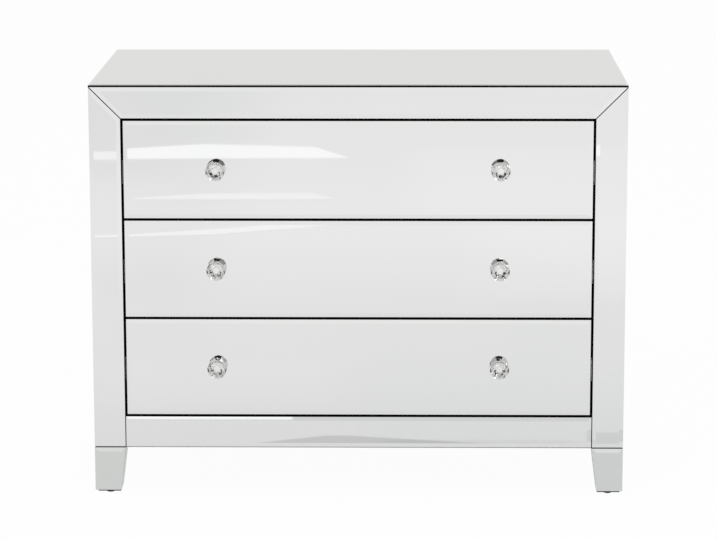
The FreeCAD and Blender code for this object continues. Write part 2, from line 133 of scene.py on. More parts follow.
# %% [markdown]
# A second class adds a node from its type, its settings and the values of its sockets, so that a
# tree reads like a recipe. A finish is a recipe that starts from the Principled shader. It can ask
# where a point lies and which way the surface faces there, and it has noise for what is uneven and
# bump for what is not quite flat.


# %% Recipes and finishes
class Recipe:
    """A node tree that grows one node at a time."""

    def __init__(self, tree):
        self.tree = tree

    def add(self, kind, settings=None, values=None, outputs=0):
        """Adds a node: its settings, then its sockets. Returns one output, or each of a tuple's."""
        node = self.tree.nodes.new(kind)
        for name, value in (settings or {}).items():
            setattr(node, name, value)
        for name, value in (values or {}).items():
            feed(self.tree, node.inputs[name], value)
        if outputs is None:
            return None
        if isinstance(outputs, tuple):
            return [Term(self.tree, node.outputs[name]) for name in outputs]
        return Term(self.tree, node.outputs[outputs])

    def split(self, vector):
        return self.add("ShaderNodeSeparateXYZ", values={"Vector": vector}, outputs=("X", "Y", "Z"))

    def ramp(self, value, low, high):
        """0 where the value is under low, 1 where it is over high, and smooth in between."""
        values = {"Value": value, "From Min": low, "From Max": high}
        return self.add("ShaderNodeMapRange", {"interpolation_type": "SMOOTHSTEP"}, values)

    def blend(self, share, first, second):
        """The first colour where the share is 0, the second where it is 1."""
        return self.add("ShaderNodeMix", {"data_type": "RGBA"}, {0: share, 6: first, 7: second}, 2)


class Finish(Recipe):
    """A material with one Principled shader, whose constant sockets are set first."""

    def __init__(self, name, constants):
        self.material = bpy.data.materials.new(name)
        self.material.use_nodes = True
        super().__init__(self.material.node_tree)
        self.shader = self.tree.nodes["Principled BSDF"]
        self.set(constants)

    def set(self, values):
        for name, value in values.items():
            feed(self.tree, self.shader.inputs[name], value)

    def where(self, output="Object"):
        """Where the shaded point is on the object, or with Normal which way it faces."""
        return self.add("ShaderNodeTexCoord", outputs=output)

    def noise(self, waves, detail=2.0, roughness=0.5):
        """Smooth noise from 0 to 1, with so many waves a metre along x, y and z."""
        spread = self.add(
            "ShaderNodeVectorMath",
            {"operation": "MULTIPLY"},
            {0: self.where(), 1: waves},
        )
        values = {"Vector": spread, "Scale": 1.0, "Detail": detail, "Roughness": roughness}
        return self.add("ShaderNodeTexNoise", values=values)

    def bump(self, height, depth):
        """A normal for a surface whose relief is depth metres from its lowest to its highest."""
        values = {"Height": height, "Distance": depth, "Strength": 1.0}
        return self.add("ShaderNodeBump", values=values)


def dress(finish, *names):
    """Gives CAD nodes a finish."""
    for name in names:
        for slot in nodes[name].material_slots:
            slot.material = finish.material
    print(f"{finish.material.name:20} on {len(names)} nodes")


# %% [markdown]
# The panes are 4 mm float glass, silvered on the back, so the whole face is a clean mirror and
# only the cut edge shows the glass itself, nearly black where no light gets through. A mirror is
# a metal with almost no roughness, and the edge is dark and matt. The silver has a slow change of
# tone, and wiping leaves a trace of haze.

# %% Mirror glass
SILVER = (0.800, 0.806, 0.800, 1.0)
SILVER_CLOUD = (0.785, 0.797, 0.790, 1.0)
CUT_EDGE = (0.004, 0.006, 0.005, 1.0)
MIRROR_ROUGHNESS = 0.015
EDGE_ROUGHNESS = 0.5
CLOUD_WAVES, CLOUD_RANGE = (2.5, 2.5, 2.5), (0.35, 0.7)
WIPE_WAVES, WIPE_RANGE, WIPE_HAZE = (9.0, 9.0, 60.0), (0.55, 0.8), 0.02


def mirror_finish(name, silvered, silver=SILVER, clouded=SILVER_CLOUD):
    """Silvered glass. silvered gives a mask of the face from the normal's parts and the place's."""
    finish = Finish(name, {"Specular IOR Level": 0.0})
    face = silvered(finish.split(finish.where("Normal")), finish.split(finish.where()))
    cloud = finish.noise(CLOUD_WAVES, detail=1.0)
    wiped = finish.noise(WIPE_WAVES, detail=3.0)
    silver = finish.blend(finish.ramp(cloud, *CLOUD_RANGE), silver, clouded)
    haze = WIPE_HAZE * finish.ramp(wiped, *WIPE_RANGE)
    finish.set(
        {
            "Base Color": finish.blend(face, CUT_EDGE, silver),
            "Metallic": face,
            "Roughness": EDGE_ROUGHNESS + face * (MIRROR_ROUGHNESS - EDGE_ROUGHNESS) + haze,
        }
    )
    return finish


# %% [markdown]
# Edge and face could be two materials on two sets of faces, but the frame's meshes stay as they
# are, so one material tells them apart by the way the surface faces and by how far it lies inside
# the pane's outline. A bevel leans by only 6 degrees, so it counts as face. The silver stops a hair
# before the edge, but for the two sides of the chest, where the panes were polished flush and no
# dark line shows. Where the frame's panes meet in a mitre, it stops along the slanted joint too.

# %% The panes
FACE_ON = 0.9
BARE_RIM = 0.0005
rail_low, rail_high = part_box("top_rail_mirror")
chest_side, frame_top = cad_box[1].x, rail_high.z
mitre_rim = rail_low.x + chest_side + BARE_RIM * math.sqrt(2.0)


def bare_rim(axis, edge):
    """How far from an edge the silver stops. At the chest's own sides it doesn't."""
    flush = axis == X and abs(edge) > chest_side - BARE_RIM
    return 0.0 if flush else BARE_RIM


def dress_pane(name, across, outward, mitre=0.0):
    """Gives a pane its own finish. across is its flat axes, outward the axis and way it faces.

    mitre is 1 above the frame's mitred joints, -1 below them and 0 for a pane without one.
    """
    low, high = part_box(name)
    axis, way = outward

    def silvered(facing, place):
        face = way * facing[axis] > FACE_ON
        for flat in across:
            first = low[flat] + bare_rim(flat, low[flat])
            last = high[flat] - bare_rim(flat, high[flat])
            face = face * (place[flat] > first) * (place[flat] < last)
        if mitre:
            over_joint = chest_side - abs(place[X]) - (frame_top - place[Z])
            face = face * (mitre * over_joint > mitre_rim)
        return face

    dress(mirror_finish(f"{name}_glass", silvered), name)


dress_pane("top_rail_mirror", (X, Z), (Y, -1.0), mitre=1.0)
for name in ("left_stile_mirror", "right_stile_mirror"):
    dress_pane(name, (X, Z), (Y, -1.0), mitre=-1.0)
for name in ("apron_mirror", *(f"{level}_drawer_mirror" for level in LEVELS)):
    dress_pane(name, (X, Z), (Y, -1.0))
dress_pane("left_side_mirror", (Y, Z), (X, -1.0))
dress_pane("right_side_mirror", (Y, Z), (X, 1.0))
dress_pane("top_mirror", (X, Y), (Z, 1.0))

# %% [markdown]
# The silver of the feet is darker: it is painted shade, for the shade that lies near the floor.
# Their panes are six solids in two nodes, so one mask serves them all: a front pane shows where
# the surface faces the front, and a side pane where it faces the side. The front pane's own outer
# edge faces the side too, and lies before the side pane.

# %% The panes of the feet
# Painted shade: the feet's silver is darker than that of the other panes.
SHADED_FOOT_SILVER = (0.696, 0.711, 0.698, 1.0)
SHADED_FOOT_CLOUD = (0.682, 0.704, 0.689, 1.0)
side_pane_low, side_pane_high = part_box("left_side_mirror")


def on_a_foot(facing, place):
    """The mask of the faces of the feet's panes."""
    front = facing[Y] < -FACE_ON
    side = (abs(facing[X]) > FACE_ON) * (abs(place[X]) > abs(side_pane_high.x))
    return front.larger(side * (place[Y] > side_pane_low.y))


foot_mirror = mirror_finish("foot_mirror", on_a_foot, SHADED_FOOT_SILVER, SHADED_FOOT_CLOUD)
dress(foot_mirror, "front_leg_mirrors", "back_leg_mirrors")

# %% [markdown]
# The knobs are lead crystal, ground and polished in facets like a brilliant, with the facets of the
# back silvered as the panes are. The facets are real geometry, so the glass only has to bend light.
# In front of the girdle it is all transmission, and behind it all mirror: light that goes in comes
# out again to the front, bright from the floor in the middle, and black at the top edge, where it
# has come down from the dim ceiling. Clear facets all through let too much of the drawer be seen.
# A polishing wheel leaves faint lines, which make the facets a little less than perfectly smooth.

# %% Crystal
CRYSTAL_INDEX = 1.56
CLEAR, FAINTLY_LINED = (0.99, 0.995, 1.0, 1.0), (0.96, 0.97, 0.98, 1.0)
SILVER_BACK = (0.82, 0.82, 0.81, 1.0)
POLISH_WAVES, POLISH_RANGE, POLISH_HAZE = (300.0, 300.0, 2500.0), (0.5, 0.9), 0.02
TOP_EDGE = 0.0002
knob_corners = [corner.co for corner in nodes["top_crystal_knobs"].data.vertices]
knob_top = max(corner.z for corner in knob_corners)
girdle_back = max(corner.y for corner in knob_corners if corner.z > knob_top - TOP_EDGE)
crystal = Finish("crystal", {"Transmission Weight": 1.0, "IOR": CRYSTAL_INDEX})
polish = crystal.ramp(crystal.noise(POLISH_WAVES, detail=3.0), *POLISH_RANGE)
foiled = crystal.split(crystal.where())[Y] > girdle_back
clear = crystal.blend(polish, CLEAR, FAINTLY_LINED)
crystal.set(
    {
        "Base Color": crystal.blend(foiled, clear, SILVER_BACK),
        "Metallic": foiled,
        "Roughness": POLISH_HAZE * polish,
    }
)
dress(crystal, *(f"{level}_crystal_knobs" for level in LEVELS))

# %% [markdown]
# Two metals hold and run the drawers. The knobs' ferrules are turned brass with a chrome plate.
# The slides and screws are rolled steel with bright zinc: it shows the lines of rolling, which run
# along the drawer's travel, and is cloudy where the zinc has crystallised.

# %% Chrome and zinc
METAL_CLOUD_WAVES, METAL_CLOUD_RANGE = (60.0, 25.0, 60.0), (0.3, 0.7)
LINES_ROUGHEN, CLOUD_ROUGHENS = 0.5, 0.4


def metal_finish(name, bright, dull, roughness, waves, relief):
    """Bare metal, with drawn lines stretched along one axis and a slow change of tone."""
    finish = Finish(name, {"Metallic": 1.0})
    lines = finish.noise(waves, detail=4.0, roughness=0.6)
    cloud = finish.noise(METAL_CLOUD_WAVES, detail=2.0)
    finish.set(
        {
            "Base Color": finish.blend(finish.ramp(cloud, *METAL_CLOUD_RANGE), bright, dull),
            "Roughness": roughness
            + LINES_ROUGHEN * roughness * lines
            + CLOUD_ROUGHENS * roughness * cloud,
            "Normal": finish.bump(lines, relief),
        }
    )
    return finish


chrome = metal_finish(
    "chrome",
    bright=(0.80, 0.80, 0.81, 1.0),
    dull=(0.74, 0.75, 0.76, 1.0),
    roughness=0.05,
    waves=(700.0, 90.0, 700.0),
    relief=0.000002,
)
zinc = metal_finish(
    "zinc",
    bright=(0.66, 0.67, 0.69, 1.0),
    dull=(0.52, 0.53, 0.56, 1.0),
    roughness=0.22,
    waves=(1500.0, 20.0, 1500.0),
    relief=0.00001,
)
ZINC_PARTS = ("drawer_slide_members", "slide_runners", "knob_screws")
zinc_names = [f"{level}_{part}" for level in LEVELS for part in ZINC_PARTS]
dress(chrome, *(f"{level}_knob_ferrules" for level in LEVELS))
dress(zinc, "cabinet_slide_members", *zinc_names)

# %% [markdown]
# The carcass and the drawer fronts are fibreboard under matt black paint, which is what shows in
# the gaps round the drawers. The feet are the same board in silver paint. Paint on fibreboard has
# a fine orange peel, a little sheen that comes and goes, and dust that settles on what faces up.

# %% Painted boards
DUST = (0.42, 0.40, 0.37, 1.0)
PALE_LIPPING = (0.78, 0.78, 0.77, 1.0)
NOISE_MEAN = 0.5
PEEL_WAVES, PATCH_WAVES, FIBRE_WAVES = (420.0,) * 3, (7.0,) * 3, (1800.0,) * 3
FACES_UP, DUST_SHARE, DUST_ROUGHENS = 0.7, 0.05, 0.08
WORN_RANGE, FIBRE_IN_WEAR = (0.4, 0.75), 0.3
PATCH_ROUGHENS, FIBRE_DULLS = 0.15, 0.5
FIBRE_IN_PEEL, PEEL_DEPTH = 0.4, 0.00006


def paint_finish(name, colour, worn, roughness, metallic, sheen, lipping=None):
    """Sprayed paint on board: orange peel, a patchy sheen and dust on what faces up.

    lipping gives a mask, from the place's parts, of an edge that is left pale.
    """
    finish = Finish(name, {"Specular IOR Level": sheen})
    peel = finish.noise(PEEL_WAVES, detail=3.0)
    patch = finish.noise(PATCH_WAVES, detail=4.0)
    fibre = finish.noise(FIBRE_WAVES, detail=2.0)
    upward = finish.split(finish.where("Normal"))[Z] > FACES_UP
    wear = finish.ramp(patch + FIBRE_IN_WEAR * (fibre - NOISE_MEAN), *WORN_RANGE)
    tone = finish.blend(wear, colour, worn)
    if lipping:
        tone = finish.blend(lipping(finish.split(finish.where())), tone, PALE_LIPPING)
    finish.set(
        {
            "Base Color": finish.blend(DUST_SHARE * upward * patch, tone, DUST),
            "Roughness": roughness
            + PATCH_ROUGHENS * (patch - NOISE_MEAN)
            + DUST_ROUGHENS * upward,
            "Metallic": metallic * (1.0 - FIBRE_DULLS * fibre),
            "Normal": finish.bump(peel + FIBRE_IN_PEEL * fibre, PEEL_DEPTH),
        }
    )
    return finish


# %% [markdown]
# The bottom board's front edge is left pale between the feet, where it shows as a thin line under
# the apron's pane. Each node came with a slot from its record, which says what paint it has.

# %% Black and silver
LIPPING_DEPTH = 0.001
MATT_BLACK = {
    "colour": (0.008, 0.008, 0.009, 1.0),
    "worn": (0.016, 0.015, 0.016, 1.0),
    "roughness": 0.7,
    "metallic": 0.0,
    "sheen": 0.1,
}
SILVER_PAINT = {
    "colour": (0.78, 0.78, 0.77, 1.0),
    "worn": (0.70, 0.70, 0.70, 1.0),
    "roughness": 0.34,
    "metallic": 0.9,
    "sheen": 0.35,
}
apron_low, apron_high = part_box("apron_mirror")
lipping_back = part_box("bottom_board")[0].y + LIPPING_DEPTH


def under_the_apron(place):
    """The mask of the bottom board's edge between the feet."""
    return (place[Z] < apron_low.z) * (abs(place[X]) < apron_high.x) * (place[Y] < lipping_back)


black_paint = paint_finish("black_paint", **MATT_BLACK)
lipped_paint = paint_finish("lipped_paint", **MATT_BLACK, lipping=under_the_apron)
silver_paint = paint_finish("silver_paint", **SILVER_PAINT)
SLOT = {name: node.material_slots[0].material.name for name, node in nodes.items()}
dress(black_paint, *(name for name in nodes if SLOT[name] == "black_board"))
dress(silver_paint, *(name for name in nodes if SLOT[name] == "silver_board"))
dress(lipped_paint, "bottom_board")

# %% [markdown]
# The drawer boxes are pale plywood under a clear satin lacquer. A peeled veneer has long soft bands
# with fine pores along its grain, and the cut edge shows the plies, light and dark by turns. The
# grain could be painted on a UV map, but the boards are straight, so noise that is stretched along
# each board does it, and the plies are stripes through its thickness. Each direction of board gets
# its own copy of the finish.

# %% Plywood boxes
PALE_WOOD = (0.74, 0.60, 0.43, 1.0)
DARK_WOOD = (0.58, 0.43, 0.28, 1.0)
END_PLY = (0.40, 0.28, 0.18, 1.0)
PLY, SIDE_ON = 0.0017, 0.5
BANDS_ALONG, BANDS_ACROSS = 1.2, 28.0
PORES_ALONG, PORES_ACROSS = 25.0, 1500.0
RINGS_IN_A_BAND, PORES_IN_RINGS = 7.0, 0.2
RING_RANGE, RING_SHARE = (0.2, 0.95), 0.75
PORE_RANGE, PORE_SHARE = (0.58, 0.8), 0.5
PLY_SHARE, PORES_IN_PLY = 0.6, 0.5
LACQUER_ROUGHNESS, CUT_ROUGHENS, PORES_ROUGHEN = 0.38, 0.2, 0.12
RINGS_IN_RELIEF, WOOD_DEPTH = 0.3, 0.00005


def plywood_finish(name, along, through):
    """Plywood whose face grain runs on axis along, and whose plies are stacked on axis through."""
    finish = Finish(name, {"Specular IOR Level": 0.4})
    place = finish.split(finish.where())
    facing = finish.split(finish.where("Normal"))
    band_waves = [BANDS_ALONG if axis == along else BANDS_ACROSS for axis in (X, Y, Z)]
    pore_waves = [PORES_ALONG if axis == along else PORES_ACROSS for axis in (X, Y, Z)]
    bands = finish.noise(band_waves, detail=3.0)
    pores = finish.noise(pore_waves, detail=2.0)
    rings = (RINGS_IN_A_BAND * bands + PORES_IN_RINGS * pores).fraction()
    face = finish.blend(RING_SHARE * finish.ramp(rings, *RING_RANGE), PALE_WOOD, DARK_WOOD)
    face = finish.blend(PORE_SHARE * finish.ramp(pores, *PORE_RANGE), face, END_PLY)
    stripe = (place[through] / (2.0 * PLY)).fraction() > 0.5
    edge = finish.blend(stripe * (PLY_SHARE + PORES_IN_PLY * pores), PALE_WOOD, END_PLY)
    cut = abs(facing[through]) < SIDE_ON
    finish.set(
        {
            "Base Color": finish.blend(cut, face, edge),
            "Roughness": LACQUER_ROUGHNESS + CUT_ROUGHENS * cut + PORES_ROUGHEN * pores,
            "Normal": finish.bump(pores + RINGS_IN_RELIEF * rings, WOOD_DEPTH),
        }
    )
    return finish


side_plywood = plywood_finish("side_plywood", along=Y, through=X)
back_plywood = plywood_finish("back_plywood", along=X, through=Y)
base_plywood = plywood_finish("base_plywood", along=X, through=Z)
SIDES = ("left_side", "right_side")
dress(side_plywood, *(f"{level}_drawer_{side}" for level in LEVELS for side in SIDES))
dress(back_plywood, *(f"{level}_drawer_back" for level in LEVELS))
dress(base_plywood, *(f"{level}_drawer_bottom" for level in LEVELS))

# %% [markdown]
# The glides under the feet are moulded black plastic. The mould gives them a fine even grain, and
# the floor has scuffed them where they stand on it.

# %% Glides
BLACK_PLASTIC, SCUFFED_PLASTIC = (0.018, 0.018, 0.019, 1.0), (0.09, 0.09, 0.09, 1.0)
GRAIN_WAVES, GRAIN_DEPTH, GRAIN_ROUGHENS = (2600.0,) * 3, 0.00003, 0.1
SCUFF_WAVES, SCUFF_RANGE = (250.0, 900.0, 250.0), (0.55, 0.8)
SCUFF_SHARE, SCUFF_ROUGHENS = 0.5, 0.25
PLASTIC_ROUGHNESS = 0.42
plastic = Finish("black_plastic", {"Specular IOR Level": 0.4})
grain = plastic.noise(GRAIN_WAVES, detail=2.0)
scuff = plastic.ramp(plastic.noise(SCUFF_WAVES, detail=4.0), *SCUFF_RANGE)
plastic.set(
    {
        "Base Color": plastic.blend(SCUFF_SHARE * scuff, BLACK_PLASTIC, SCUFFED_PLASTIC),
        "Roughness": PLASTIC_ROUGHNESS + SCUFF_ROUGHENS * scuff + GRAIN_ROUGHENS * grain,
        "Normal": plastic.bump(grain, GRAIN_DEPTH),
    }
)
dress(plastic, "leg_glides")

# %% [markdown]
# Small fastenings repeat: the screws that hold the back panel, those that hold the slides to the
# drawers, and the pins at the corners of the boxes. Geometry Nodes set them out. The input of such
# a tree is a mesh of bare edges, which are the lines that the screws follow, with the way each line
# faces kept as an attribute. One more kind of recipe starts such a tree with named inputs for its
# sizes, and ends it with real geometry in the finish that it is given.


# %% Trees with named inputs
class Sockets(Recipe):
    """A Geometry Nodes tree with named inputs, whose last nodes realise it and give its finish."""

    def __init__(self, name, inputs):
        super().__init__(bpy.data.node_groups.new(name, "GeometryNodeTree"))
        entry = self.tree.interface.new_socket
        entry("Lines", in_out="INPUT", socket_type="NodeSocketGeometry")
        for label, kind in inputs.items():
            entry(label, in_out="INPUT", socket_type=f"NodeSocket{kind}")
        entry("Finish", in_out="INPUT", socket_type="NodeSocketMaterial")
        entry("Result", in_out="OUTPUT", socket_type="NodeSocketGeometry")
        self.inputs = self.tree.nodes.new("NodeGroupInput").outputs

    def given(self, name):
        return Term(self.tree, self.inputs[name])

    def spaced_points(self):
        """The lines as curves, and points at an even pitch along them."""
        curve = self.add("GeometryNodeMeshToCurve", values={"Mesh": self.given("Lines")})
        values = {"Curve": curve, "Length": self.given("Pitch")}
        return curve, self.add("GeometryNodeResampleCurve", {"mode": "LENGTH"}, values)

    def end(self, instances):
        solid = self.add("GeometryNodeRealizeInstances", values={"Geometry": instances})
        values = {"Geometry": solid, "Material": self.given("Finish")}
        finished = self.add("GeometryNodeSetMaterial", values=values)
        result = self.tree.nodes.new("NodeGroupOutput")
        feed(self.tree, result.inputs["Result"], finished)


# %% [markdown]
# The screws' tree puts points along the lines and stands a head on each. A head is a short cone
# with a cross recess cut out of it by two crossed bars, spun by a seeded random angle as a fitter
# leaves it. Its parts are shares of its radius and height, so one tree makes every size of screw.

# %% A tree that sets screws along lines
HEAD_SIDES, HEAD_TAPER = 20, 0.72
RECESS_LENGTH, RECESS_WIDTH, RECESS_LIFT = 1.15, 0.26, 0.95


def screw_tree():
    inputs = {"Pitch": "Float", "Head Radius": "Float", "Head Height": "Float", "Seed": "Int"}
    tree = Sockets("screws_along_lines", inputs)
    radius, height = tree.given("Head Radius"), tree.given("Head Height")
    _, points = tree.spaced_points()
    head = tree.add(
        "GeometryNodeMeshCone",
        values={
            "Vertices": HEAD_SIDES,
            "Radius Top": HEAD_TAPER * radius,
            "Radius Bottom": radius,
            "Depth": height,
        },
    )
    size = {"X": RECESS_LENGTH * radius, "Y": RECESS_WIDTH * radius, "Z": height}
    bars = []
    for turn in (0.0, math.pi / 2):
        bar_size = tree.add("ShaderNodeCombineXYZ", values=size)
        bar = tree.add("GeometryNodeMeshCube", values={"Size": bar_size})
        lift = tree.add("ShaderNodeCombineXYZ", values={"Z": RECESS_LIFT * height})
        values = {"Geometry": bar, "Translation": lift, "Rotation": (0, 0, turn)}
        bars.append(tree.add("GeometryNodeTransform", values=values))
    driven = tree.tree.nodes.new("GeometryNodeMeshBoolean")
    driven.operation = "DIFFERENCE"
    feed(tree.tree, driven.inputs["Mesh 1"], head)
    for bar in bars:
        feed(tree.tree, driven.inputs["Mesh 2"], bar)
    facing = tree.add(
        "GeometryNodeInputNamedAttribute",
        {"data_type": "FLOAT_VECTOR"},
        {"Name": "facing"},
        "Attribute",
    )
    stand = tree.add("FunctionNodeAlignRotationToVector", {"axis": "Z"}, {"Vector": facing})
    spin = tree.add(
        "FunctionNodeRandomValue",
        {"data_type": "FLOAT"},
        {2: 0.0, 3: math.pi, "Seed": tree.given("Seed")},
        1,
    )
    upright_spin = tree.add("ShaderNodeCombineXYZ", values={"Z": spin})
    turned = tree.add(
        "FunctionNodeRotateRotation",
        {"rotation_space": "LOCAL"},
        {"Rotation": stand, "Rotate By": upright_spin},
    )
    screw = Term(tree.tree, driven.outputs["Mesh"])
    values = {"Points": points, "Instance": screw, "Rotation": turned}
    tree.end(tree.add("GeometryNodeInstanceOnPoints", values=values))
    return tree.tree


SCREWS = screw_tree()
print("The screw tree has", len(SCREWS.nodes), "nodes")


# %% [markdown]
# A tree only works on an object that has it as a modifier. So each run of fastenings starts as its
# lines, gets the tree with its own sizes, and is read back as a plain mesh, which then rides on the
# body that carries it.


# %% From lines to a plain mesh
def lines_object(name, lines):
    """An object of bare edges. Each line is a list of points and the way that it faces."""
    points = [point for path, facing in lines for point in path]
    ways = [value for path, facing in lines for point in path for value in facing]
    edges = []
    start = 0
    for path, facing in lines:
        edges += [(start + k, start + k + 1) for k in range(len(path) - 1)]
        start += len(path)
    mesh = bpy.data.meshes.new(name)
    mesh.from_pydata(points, edges, [])
    mesh.attributes.new("facing", "FLOAT_VECTOR", "POINT").data.foreach_set("vector", ways)
    made = bpy.data.objects.new(name, mesh)
    bpy.context.scene.collection.objects.link(made)
    return made


def grow(name, tree, lines, sizes, finish, body):
    """Runs a tree on lines and leaves its result as a plain mesh on a body."""
    made = lines_object(name, lines)
    modifier = made.modifiers.new("grow", "NODES")
    modifier.node_group = tree
    entries = {entry.name: entry for entry in tree.interface.items_tree}
    for label, value in {**sizes, "Finish": finish.material}.items():
        modifier[entries[label].identifier] = value
    evaluated = made.evaluated_get(bpy.context.evaluated_depsgraph_get())
    mesh = bpy.data.meshes.new_from_object(evaluated)
    made.modifiers.remove(modifier)
    mesh.name = name
    made.data = mesh
    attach(made, body)
    print(f"{name:24} {len(mesh.polygons)} faces on {body}")


# %% [markdown]
# The back panel is held by flat screws that are sunk until only a hair stands proud, at an even
# pitch on a line round the panel, just inside its edge.

# %% Screws in the back panel
PANEL_INSET = 0.010
PROUD = 0.00001
SUNK_HEAD = {"Pitch": 0.095, "Head Radius": 0.0035, "Head Height": 0.0006, "Seed": 3}
BACKWARD = (0.0, 1.0, 0.0)
low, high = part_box("back_panel")
left_edge, right_edge = low.x + PANEL_INSET, high.x - PANEL_INSET
bottom_edge, top_edge = low.z + PANEL_INSET, high.z - PANEL_INSET
sunk_face = high.y - (SUNK_HEAD["Head Height"] - PROUD)
corners = [
    (left_edge, sunk_face, bottom_edge),
    (right_edge, sunk_face, bottom_edge),
    (right_edge, sunk_face, top_edge),
    (left_edge, sunk_face, top_edge),
]
rows = [([start, end], BACKWARD) for start, end in zip(corners, corners[1:] + corners[:1])]
grow("back_panel_screws", SCREWS, rows, SUNK_HEAD, zinc, "carcass")

# %% [markdown]
# Each slide is held to its drawer by pan-head screws in the slide's web, and thin pins hold the
# sides of a box to its back, in a row down each rear corner.

# %% Screws and pins on the drawers
SHEET = 0.0012
FIRST_HOLE, LAST_HOLE = 0.035, 0.415
FIRST_PIN, LAST_PIN = 0.012, 0.004
PAN_HEAD = {"Pitch": 0.19, "Head Radius": 0.0036, "Head Height": 0.0019, "Seed": 5}
PIN_HEAD = {"Pitch": 0.034, "Head Radius": 0.0016, "Head Height": 0.0003, "Seed": 8}
for level in LEVELS:
    low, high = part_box(f"{level}_drawer_slide_members")
    back_low, back_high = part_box(f"{level}_drawer_back")
    box_wall = abs(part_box(f"{level}_drawer_left_side")[0].x)
    middle = (low.z + high.z) / 2
    corner = (back_low.y + back_high.y) / 2
    slide_rows, pin_rows = [], []
    for hand in (-1.0, 1.0):
        web, wall = hand * (box_wall + SHEET), hand * box_wall
        holes = [(web, low.y + run, middle) for run in (FIRST_HOLE, LAST_HOLE)]
        pins = [(wall, corner, z) for z in (back_low.z + FIRST_PIN, back_high.z - LAST_PIN)]
        slide_rows.append((holes, (hand, 0.0, 0.0)))
        pin_rows.append((pins, (hand, 0.0, 0.0)))
    body = f"{level}_drawer"
    grow(f"{level}_slide_screws", SCREWS, slide_rows, PAN_HEAD, zinc, body)
    grow(f"{level}_box_pins", SCREWS, pin_rows, PIN_HEAD, zinc, body)

# %% [markdown]
# The slides run on steel balls, and a thin strip keeps the balls of each track apart. In a real
# slide such a cage travels half as far as the member that rolls on it, which no joint here does, so
# the cages ride on the intermediate member. They stay between their two members all the way where
# the outer tracks have them in the member's back half and the inner tracks in its front half.

# %% Balls and their cages
BALL_SEGMENTS, BALL_RINGS = 12, 8


def ball_tree():
    inputs = {"Pitch": "Float", "Ball Radius": "Float", "Strip Width": "Float"}
    tree = Sockets("balls_in_a_track", {**inputs, "Strip Gauge": "Float"})
    curve, points = tree.spaced_points()
    values = {"Segments": BALL_SEGMENTS, "Rings": BALL_RINGS, "Radius": tree.given("Ball Radius")}
    ball = tree.add("GeometryNodeMeshUVSphere", values=values)
    ball = tree.add("GeometryNodeSetShadeSmooth", values={"Geometry": ball})
    balls = tree.add("GeometryNodeInstanceOnPoints", values={"Points": points, "Instance": ball})
    section = tree.add(
        "GeometryNodeCurvePrimitiveQuadrilateral",
        values={"Width": tree.given("Strip Gauge"), "Height": tree.given("Strip Width")},
    )
    upright = tree.add("GeometryNodeSetCurveNormal", {"mode": "Z_UP"}, {"Curve": curve})
    values = {"Curve": upright, "Profile Curve": section, "Fill Caps": True}
    strip = tree.add("GeometryNodeCurveToMesh", values=values)
    both = tree.tree.nodes.new("GeometryNodeJoinGeometry")
    feed(tree.tree, both.inputs["Geometry"], balls)
    feed(tree.tree, both.inputs["Geometry"], strip)
    tree.end(Term(tree.tree, both.outputs["Geometry"]))
    return tree.tree


BALLS = ball_tree()
print("The ball tree has", len(BALLS.nodes), "nodes")

# %% [markdown]
# Each slide has four tracks, two above its middle and two below. An outer one lies between the
# cabinet's member and the intermediate one, and an inner one between that and the drawer's member.

# %% Balls in the slides
TRACK = 0.003
CAGE = {"Pitch": 0.011, "Ball Radius": 0.00145, "Strip Width": 0.0022, "Strip Gauge": 0.0005}
CAGE_END = 0.008
OUTER_TRACK, INNER_TRACK = 0.00495, 0.00715
batten_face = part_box("cabinet_slide_members")[1].x
for level in LEVELS:
    low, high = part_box(f"{level}_slide_runners")
    middle, half_way = (low.z + high.z) / 2, (low.y + high.y) / 2
    outer_rise = high.z - middle + TRACK / 2
    inner_rise = high.z - middle - SHEET - TRACK / 2
    outer_ends = (half_way + CAGE_END, high.y - CAGE_END)
    inner_ends = (low.y + CAGE_END, half_way - CAGE_END)
    rows = []
    for hand in (-1.0, 1.0):
        for side in (-1.0, 1.0):
            x, z = hand * (batten_face - OUTER_TRACK), middle + side * outer_rise
            rows.append(([(x, y, z) for y in outer_ends], (hand, 0.0, 0.0)))
            x, z = hand * (batten_face - INNER_TRACK), middle + side * inner_rise
            rows.append(([(x, y, z) for y in inner_ends], (hand, 0.0, 0.0)))
    grow(f"{level}_slide_balls", BALLS, rows, CAGE, chrome, f"{level}_runner")

# %% [markdown]
# The camera stands in front of the chest at the height of a standing person's eyes and looks down
# on it by 11 degrees, a little right of the middle and turned a degree to the left. Its place, its
# turn and its long lens were solved from the corners of the chest in the photograph.

# %% The camera
EYE = Vector((0.0960, -5.6577, 1.4934))
YAW = math.radians(-1.023)
PITCH = math.radians(11.095)
ROLL = math.radians(-0.105)
FOCAL_PIXELS = 2938.2
FRAME_WIDTH_PIXELS, FRAME_HEIGHT_PIXELS = 716.0, 540.0
camera_data = bpy.data.cameras.new("photo_camera")
camera_data.lens = FOCAL_PIXELS / FRAME_WIDTH_PIXELS * camera_data.sensor_width
camera = bpy.data.objects.new("photo_camera", camera_data)
bpy.context.scene.collection.objects.link(camera)
turn = Matrix.Rotation(-YAW, 4, "Z") @ Matrix.Rotation(math.pi / 2 - PITCH, 4, "X")
turn = turn @ Matrix.Rotation(ROLL, 4, "Z")
camera.matrix_world = Matrix.Translation(EYE) @ turn
bpy.context.scene.camera = camera
print(f"The lens is {camera_data.lens:.0f} mm")

# %% [markdown]
# The studio is a white paper floor that runs out of sight, under a white room. A mirror shows
# nothing but its surroundings, so the studio is half of this object's look. To the mirrors the
# paper glows, with painted shade near the chest, where the chest would take light away. A short
# table of soft rectangles paints light and shade into the glow: it is dimmer far off on the left,
# brighter on the right, and has two strips of painted shade close by. A longer strip of painted
# shade, deepest left of the middle, is worked out from three straight lines: it deepens from its
# left end, is even for a short way, and tapers off.

